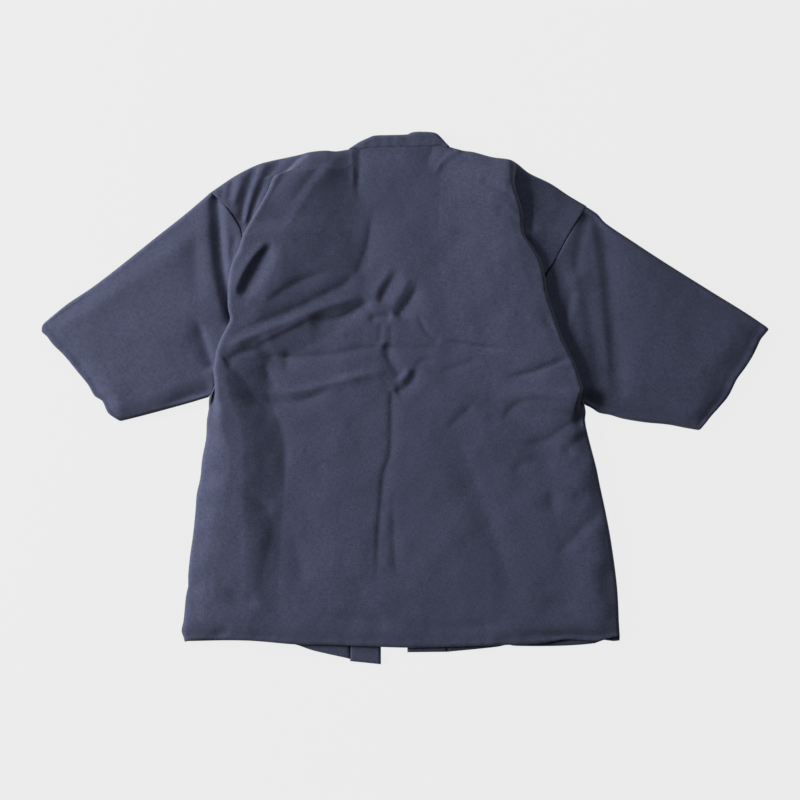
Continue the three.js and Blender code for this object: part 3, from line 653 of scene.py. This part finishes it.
def sleeve_surfaces(side, pad, gap):
    """Outer and inner faces of a flattened sleeve as two ring grids."""
    half = pad / 2
    radius = (pad + gap) / 2
    level = half + radius
    reach = radius + half
    # Rough size, which spaces the points
    length = 260.0
    width = 330.0
    s = edge_steps(length, 4.2) / length
    t_up = edge_steps(width, 4.4, rim=(reach, reach + 2, reach + 5)) / width
    plan = sleeve_plan(side, s, t_up)
    whole = sleeve_plan(side, s, np.array([0, reach / width, 1 - reach / width, 1]))
    out_top = whole[:, 0] - whole[:, 1]
    out_low = whole[:, 3] - whole[:, 2]
    out_top /= np.linalg.norm(out_top, axis=1, keepdims=True)
    out_low /= np.linalg.norm(out_low, axis=1, keepdims=True)
    angles = np.radians(np.arange(1, 8) * 22.5)
    from_cuff = (1 - s) * length
    brim = (0.25 + 0.75 * rounded(from_cuff, 5))[:, None]
    seam_ditch = (0.7 + 0.3 * rounded(s * length, 3))[:, None]
    faces = []
    for direction in (1, -1):
        r = radius + direction * half * brim * seam_ditch
        top_line = np.broadcast_to(level + r, plan.shape[:2]).copy()
        low_line = np.broadcast_to(level - r, plan.shape[:2]).copy()
        x, y = plan[..., 0], plan[..., 1]
        if direction > 0:
            edge = np.minimum(t_up, 1 - t_up)[None] * width
            field = creased(x, y, SLEEVE_CREASES[side]) + padding(x, y, 40 + side)
            plumpness = 4.5 * ease(edge / 46) * ease(from_cuff / 36)[:, None]
            pucker = soft_noise(x, y, 9, 60 + side) * np.exp(-from_cuff / 9)[:, None]
            ditch = stitch_ditch(from_cuff, *CUFF_STITCHES)[:, None]
            top_line += (field + plumpness) * ease(edge / 14) + 0.9 * pucker + ditch
            top_line = np.maximum(top_line, level + 1.2)
            # The back's pleat presses down what lies under it
            pleat = np.array(LEFT_FOLD if side < 0 else RIGHT_FOLD)
            pleat = pleat[pleat[:, 1].argsort()]
            past_pleat = side * (x - np.interp(y, pleat[:, 1], pleat[:, 0]))
            top_line = np.minimum(top_line, level + 4.5 + 30 * ease((past_pleat + 9) / 9))
        rings = [np.dstack([x, y, top_line])]
        for line, out, sign in ((plan[:, -1], out_low, 1), (plan[:, 0], out_top, -1)):
            if sign < 0:
                rings.append(np.dstack([x, y, low_line])[:, ::-1])
            bend = angles if sign > 0 else angles[::-1]
            arc = line[:, None] + out[:, None] * (r * np.sin(bend)[None])[..., None]
            height = level + r * np.cos(bend)[None]
            rings.append(np.dstack([arc, height]))
        face = np.concatenate(rings, 1)
        # The under layer starts farther out than the upper one, so no gap shows the floor
        near_body = np.exp(-s * length / 3)[:, None]
        face[..., 0] += side * near_body * (0.25 + 1.15 * ease((level - face[..., 2]) / 3 + 0.5))
        faces.append(face)
    return faces


# Meshes

def volume(points, faces):
    """Volume inside a closed mesh; it is negative where the faces look inwards."""
    halves = [face[:3] for face in faces]
    halves += [[face[0], face[2], face[3]] for face in faces if len(face) == 4]
    a, b, c = (points[corner] for corner in np.array(halves).T)
    return (a * np.cross(b, c)).sum() / 6


def wall_mesh(upper, lower, ring=False):
    """Closed wall between two grids of points in millimetres; the lower one may have half the lines."""
    points = np.vstack([upper.reshape(-1, 3), lower.reshape(-1, 3)]) * MM
    top = np.arange(upper[..., 0].size).reshape(upper.shape[:2])
    low = np.arange(lower[..., 0].size).reshape(lower.shape[:2]) + top.size
    if ring:
        top = np.hstack([top, top[:, :1]])
        low = np.hstack([low, low[:, :1]])
    faces = []
    for index, order in ((top, (0, 1, 2, 3)), (low, (3, 2, 1, 0))):
        corners = (index[:-1, :-1], index[1:, :-1], index[1:, 1:], index[:-1, 1:])
        faces += np.stack([corners[i] for i in order], -1).reshape(-1, 4).tolist()
    rims = [(top[0], low[0]), (top[-1, ::-1], low[-1, ::-1])]
    if not ring:
        rims += [(top[::-1, 0], low[::-1, 0]), (top[:, -1], low[:, -1])]
    for fine, coarse in rims:
        if len(fine) == len(coarse):
            faces += np.stack([fine[:-1], fine[1:], coarse[1:], coarse[:-1]], -1).tolist()
        else:
            faces += np.stack([fine[:-1:2], fine[1::2], coarse[:-1]], -1).tolist()
            faces += np.stack([fine[1::2], fine[2::2], coarse[1:]], -1).tolist()
            faces += np.stack([fine[1::2], coarse[1:], coarse[:-1]], -1).tolist()
    if volume(points, faces) < 0:
        faces = [face[::-1] for face in faces]
    return points, faces


def add_piece(name, shells, material, node):
    """One object from closed shells; it rides the root body and stands for its node."""
    points = []
    faces = []
    for shell_points, shell_faces in shells:
        faces += [[corner + len(points) for corner in face] for face in shell_faces]
        points += shell_points.tolist()
    mesh = bpy.data.meshes.new(name)
    mesh.from_pydata(points, [], faces)
    mesh.validate()
    mesh.shade_smooth()
    mesh.materials.append(material)
    piece = bpy.data.objects.new(name, mesh)
    bpy.context.scene.collection.objects.link(piece)
    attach(piece, "root")
    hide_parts(node)
    return piece


# Materials

def linear(hex_colour):
    """Linear RGBA of an sRGB hex colour."""
    channels = [int(hex_colour[i:i + 2], 16) / 255 for i in (1, 3, 5)]
    return [c / 12.92 if c <= 0.04045 else ((c + 0.055) / 1.055) ** 2.4 for c in channels] + [1.0]


def add_node(tree, kind, values=None, links=None, **attributes):
    """Adds a node, sets its inputs and links other nodes' outputs to it."""
    node = tree.nodes.new(kind)
    for name, value in attributes.items():
        setattr(node, name, value)
    for socket, value in (values or {}).items():
        node.inputs[socket].default_value = value
    for socket, source in (links or {}).items():
        tree.links.new(source, node.inputs[socket])
    return node


# Patches where washing has taken the dye out a little
FADED_PATCH = 45 * MM


def woven_cotton(name, grain_turn):
    """Slubbed cotton, plain woven on a loom and dyed navy, with the grain turned by an angle."""
    # It looks matt and soft: uneven threads both ways catch the light in short flecks, dark and light.
    # Real threads are about 0.4 mm apart, too fine to show, so they are drawn as coarse as a slub.
    cloth = settings()
    material = bpy.data.materials.new(name)
    material.use_nodes = True
    tree = material.node_tree
    tree.nodes.clear()
    place = add_node(tree, "ShaderNodeTexCoord").outputs["Object"]
    turned = add_node(
        tree, "ShaderNodeMapping", {"Rotation": (0, 0, grain_turn)}, {"Vector": place}).outputs[0]
    per_metre = 1 / cloth.slub_width
    stretch = cloth.slub_width / cloth.slub_length
    threads = []
    for scale in ((1, stretch, stretch), (stretch, 1, stretch)):
        drawn_out = add_node(
            tree, "ShaderNodeMapping", {"Scale": scale}, {"Vector": turned}).outputs[0]
        noise = add_node(
            tree, "ShaderNodeTexNoise",
            {"Scale": per_metre, "Detail": 3.0, "Roughness": 0.6}, {"Vector": drawn_out})
        threads.append(noise.outputs["Fac"])
    both = add_node(
        tree, "ShaderNodeMath", links={0: threads[0], 1: threads[1]}, operation="ADD").outputs[0]
    tone = add_node(
        tree, "ShaderNodeMapRange",
        {"From Min": 0.72, "From Max": 1.28, "To Min": 0.0, "To Max": 1.0}, {"Value": both}).outputs[0]
    thread_colour = add_node(
        tree, "ShaderNodeMix", {"A": linear(cloth.dark_thread), "B": linear(cloth.light_thread)},
        {"Factor": tone}, data_type="RGBA")
    patches = add_node(
        tree, "ShaderNodeTexNoise", {"Scale": 1 / FADED_PATCH, "Detail": 2.0}, {"Vector": turned})
    faded = add_node(
        tree, "ShaderNodeMapRange",
        {"From Min": 0.4, "From Max": 0.7, "To Min": 0.0, "To Max": 0.25},
        {"Value": patches.outputs["Fac"]}).outputs[0]
    colour = add_node(
        tree, "ShaderNodeMix", {"B": linear(cloth.faded_thread)},
        {"Factor": faded, "A": thread_colour.outputs["Result"]}, data_type="RGBA")
    bump = add_node(
        tree, "ShaderNodeBump", {"Strength": 0.35, "Distance": 0.4 * MM}, {"Height": both}).outputs[0]
    shader = add_node(
        tree, "ShaderNodeBsdfPrincipled",
        {"Roughness": 0.92, "Sheen Weight": 0.12, "Sheen Roughness": 0.5, "Specular IOR Level": 0.25},
        {"Base Color": colour.outputs["Result"], "Normal": bump})
    add_node(tree, "ShaderNodeOutputMaterial", links={"Surface": shader.outputs[0]})
    return material


# Settings that a user would change

class HantenSettings(bpy.types.PropertyGroup):
    pad: FloatProperty(
        name="Padded wall", description="Thickness of one padded layer", default=6 * MM, unit="LENGTH")
    gap: FloatProperty(
        name="Layer gap", description="Gap between two layers", default=0.3 * MM, unit="LENGTH")
    slub_width: FloatProperty(
        name="Slub width", description="Width of a thick thread", default=1 * MM, unit="LENGTH")
    slub_length: FloatProperty(
        name="Slub length", description="Length of a thick thread", default=7 * MM, unit="LENGTH")
    dark_thread: StringProperty(
        name="Dark thread", description="sRGB hex colour", default="#272b3c")
    light_thread: StringProperty(
        name="Light thread", description="sRGB hex colour", default="#3d4158")
    faded_thread: StringProperty(
        name="Faded thread", description="sRGB hex colour", default="#33334a")
    floor_colour: StringProperty(
        name="Floor", description="sRGB hex colour", default="#ebebeb")
    key_power: FloatProperty(
        name="Key light", description="Power of the soft key light", default=244.0, unit="POWER")
    view_width: FloatProperty(
        name="View width", description="Width seen at the floor", default=1.2, unit="LENGTH")


class HANTEN_OT_back(bpy.types.Operator):
    """Builds the back, with its pleats over the armholes and its creases"""
    bl_idname = "hanten.back"
    bl_label = "Back"

    def execute(self, context):
        upper, under = back_surfaces(*wall_sizes())
        shell = wall_mesh(upper, under)
        piece = add_piece("back_panel", [shell], woven_cotton("woven cotton back", 0.0), "back")
        return {"FINISHED"}


class HANTEN_OT_fronts(bpy.types.Operator):
    """Builds the two fronts that lie under the back"""
    bl_idname = "hanten.fronts"
    bl_label = "Fronts"

    def execute(self, context):
        pad = wall_sizes()[0]
        for side, word, hem in ((-1, "left", LEFT_FRONT_HEM), (1, "right", RIGHT_FRONT_HEM)):
            upper, under = front_surfaces(side, pad, hem)
            shell = wall_mesh(upper, under)
            node = "front_" + word
            piece = add_piece(node + "_panel", [shell], woven_cotton("woven cotton " + node, 0.0), node)
        return {"FINISHED"}


class HANTEN_OT_sleeves(bpy.types.Operator):
    """Builds the two sleeves, each one flattened tube with an open cuff"""
    bl_idname = "hanten.sleeves"
    bl_label = "Sleeves"

    def execute(self, context):
        for side, word, slope in ((-1, "left", 38), (1, "right", -32)):
            outer, inner = sleeve_surfaces(side, *wall_sizes())
            shell = wall_mesh(outer, inner, ring=True)
            node = "sleeve_" + word
            material = woven_cotton("woven cotton " + node, np.radians(-slope))
            piece = add_piece(node + "_piece", [shell], material, node)
        return {"FINISHED"}


def leg_shell(side, pad):
    """One straight leg of the collar band, from the hem to the neck."""
    seam, free, seam_hem, free_hem = COLLAR_LEGS[side]
    neck_y = 371
    length = 760
    v = edge_steps(length, 8)
    u = np.r_[0, 0.01, 0.03, 0.07, 0.13, 0.2, np.linspace(0.3, 0.7, 5), 0.8, 0.87, 0.93, 0.97, 0.99, 1]
    x = seam + (free - seam) * u[None] + 0 * v[:, None]
    hem = seam_hem + (free_hem - seam_hem) * u
    y = hem[None] + (neck_y - hem[None]) * (v[:, None] / length)
    middle = pad / 2
    free_rim = rounded((1 - u) * abs(free - seam), 4)[None] * rounded(v, 4)[:, None]
    seam_rim = (0.6 + 0.4 * rounded(u * abs(free - seam), 2))[None]
    reach = middle * (0.1 + 0.9 * free_rim) * seam_rim
    tongue = (side * np.exp(-u * abs(free - seam) / 2))[None]
    return wall_mesh(np.dstack([x, y, middle + reach]), np.dstack([x + tongue, y, middle - reach]))


def roll_shell(pad, gap):
    """The band rolled over at the back of the neck."""
    half = pad / 2
    radius = (pad + gap) / 2
    line = smooth_line(COLLAR_ROLL, 2.5)
    x = line[:, 0]
    far = line[:, 1]
    seam = np.interp(x, SHOULDER_CURVE[:, 0], SHOULDER_CURVE[:, 1]) + gap / 2
    fold_size = np.clip((far - seam - 0.4) / (radius + half), 0.15, 1)
    centre = far - (radius + half) * fold_size
    angles = np.radians(np.linspace(90, -90, 13))
    run = np.linspace(0, 1, 8)[:-1]
    free = 352 + 15 * ease((x + 79) / 60) * ease((61 - x) / 30)
    faces = []
    for direction in (1, -1):
        r = radius + direction * half
        upper_y = seam[:, None] + (centre - seam)[:, None] * run[None]
        from_seam = upper_y - seam[:, None]
        top = radius + half + radius + direction * half * (0.75 + 0.25 * rounded(from_seam, 3))
        arc_y = centre[:, None] + r * fold_size[:, None] * np.cos(angles)[None]
        arc_z = np.broadcast_to(radius + half + r * np.sin(angles), arc_y.shape)
        low_y = centre[:, None] + (free - centre)[:, None] * (1 - run[::-1])[None]
        low_z = np.broadcast_to(radius + half - r, low_y.shape)
        y = np.hstack([upper_y, arc_y, low_y])
        z = np.hstack([top, arc_z, low_z])
        if direction > 0:
            across = 0.5 * soft_noise(x, x * 0, 9, 80)[:, None]
            all_over = 0.5 * soft_noise(x[:, None] + 0 * y, y, 14, 81)
            z = z + (across + all_over) * (z > radius + half)
        faces.append(np.dstack([x[:, None] + 0 * y, y, z]))
    return wall_mesh(*faces)


class HANTEN_OT_collar(bpy.types.Operator):
    """Builds the collar band: two legs and the roll behind the neck"""
    bl_idname = "hanten.collar"
    bl_label = "Collar"

    def execute(self, context):
        pad, gap = wall_sizes()
        shells = [leg_shell(-1, pad), leg_shell(1, pad), roll_shell(pad, gap)]
        piece = add_piece("collar_band", shells, woven_cotton("woven cotton collar", 0.0), "collar")
        return {"FINISHED"}


# Soft lights: name, place in metres, and share of the key light's power. The key light is low on the
# left, so that the creases show, and the fill light stands beyond the collar.
LIGHTS = (("key", (-2.85, 0.55, 1.15), 1.0), ("fill", (0.3, 4.2, 2.3), 0.36))
LIGHT_SIZE = 1.1
AMBIENT = 0.09

LENS = 85.0
SENSOR = 36.0


def pale_floor(colour):
    """Plain pale paper, evenly lit: it gives off most of its own brightness, so it stays flat."""
    material = bpy.data.materials.new("pale paper floor")
    material.use_nodes = True
    tree = material.node_tree
    tree.nodes.clear()
    glow = add_node(tree, "ShaderNodeEmission", {"Color": linear(colour), "Strength": 0.985})
    paper = add_node(tree, "ShaderNodeBsdfDiffuse", {"Color": linear("#1d1d1d")})
    both = add_node(tree, "ShaderNodeAddShader", links={0: glow.outputs[0], 1: paper.outputs[0]})
    add_node(tree, "ShaderNodeOutputMaterial", links={"Surface": both.outputs[0]})
    return material


class HANTEN_OT_stage(bpy.types.Operator):
    """Makes the pale floor, the soft light and the camera straight above"""
    bl_idname = "hanten.stage"
    bl_label = "Stage"

    def execute(self, context):
        scene = context.scene
        cloth = settings()
        bpy.ops.mesh.primitive_plane_add(size=24, location=(0, 0, -0.0005))
        floor = context.object
        floor.name = "floor"
        floor.data.materials.append(pale_floor(cloth.floor_colour))

        world = bpy.data.worlds.new("studio")
        world.use_nodes = True
        scene.world = world
        tree = world.node_tree
        tree.nodes.clear()
        seen = add_node(
            tree, "ShaderNodeBackground", {"Color": linear(cloth.floor_colour), "Strength": 1.0})
        lit = add_node(
            tree, "ShaderNodeBackground", {"Color": linear("#ffffff"), "Strength": AMBIENT})
        path = add_node(tree, "ShaderNodeLightPath")
        mixed = add_node(tree, "ShaderNodeMixShader", links={
            0: path.outputs["Is Camera Ray"], 1: lit.outputs[0], 2: seen.outputs[0]})
        add_node(tree, "ShaderNodeOutputWorld", links={"Surface": mixed.outputs[0]})

        for name, place, share in LIGHTS:
            light = bpy.data.lights.new(name, "AREA")
            light.shape = "SQUARE"
            light.size = LIGHT_SIZE
            light.energy = cloth.key_power * share
            lamp = bpy.data.objects.new(name, light)
            lamp.location = place
            lamp.rotation_euler = (-lamp.location).to_track_quat("-Z", "Y").to_euler()
            scene.collection.objects.link(lamp)

        camera = bpy.data.cameras.new("camera")
        camera.lens = LENS
        camera.sensor_width = SENSOR
        eye = bpy.data.objects.new("camera", camera)
        eye.location = (-7.9 * MM, -2.7 * MM, cloth.view_width * LENS / SENSOR)
        scene.collection.objects.link(eye)
        scene.camera = eye
        scene.view_settings.view_transform = "Standard"
        return {"FINISHED"}


class HANTEN_PT_panel(bpy.types.Panel):
    """Sizes, colours and the steps, in order"""
    bl_label = "Hanten"
    bl_idname = "HANTEN_PT_panel"
    bl_space_type = "VIEW_3D"
    bl_region_type = "UI"
    bl_category = "Hanten"

    def draw(self, context):
        layout = self.layout
        for name in HantenSettings.__annotations__:
            layout.prop(settings(), name)
        for operator in OPERATORS:
            layout.operator(operator.bl_idname)


OPERATORS = (HANTEN_OT_fronts, HANTEN_OT_back, HANTEN_OT_sleeves, HANTEN_OT_collar, HANTEN_OT_stage)
CLASSES = (HantenSettings, *OPERATORS, HANTEN_PT_panel)


def register():
    """Adds the classes and the settings."""
    for item in CLASSES:
        bpy.utils.register_class(item)
    bpy.types.Scene.hanten = PointerProperty(type=HantenSettings)


def unregister():
    """Takes the classes and the settings away again."""
    del bpy.types.Scene.hanten
    for item in reversed(CLASSES):
        bpy.utils.unregister_class(item)


def main():
    """Builds the hanten and its stage."""
    register()
    bpy.ops.hanten.fronts()
    bpy.ops.hanten.back()
    bpy.ops.hanten.sleeves()
    bpy.ops.hanten.collar()
    bpy.ops.hanten.stage()
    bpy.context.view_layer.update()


if __name__ == "__main__":
    main()
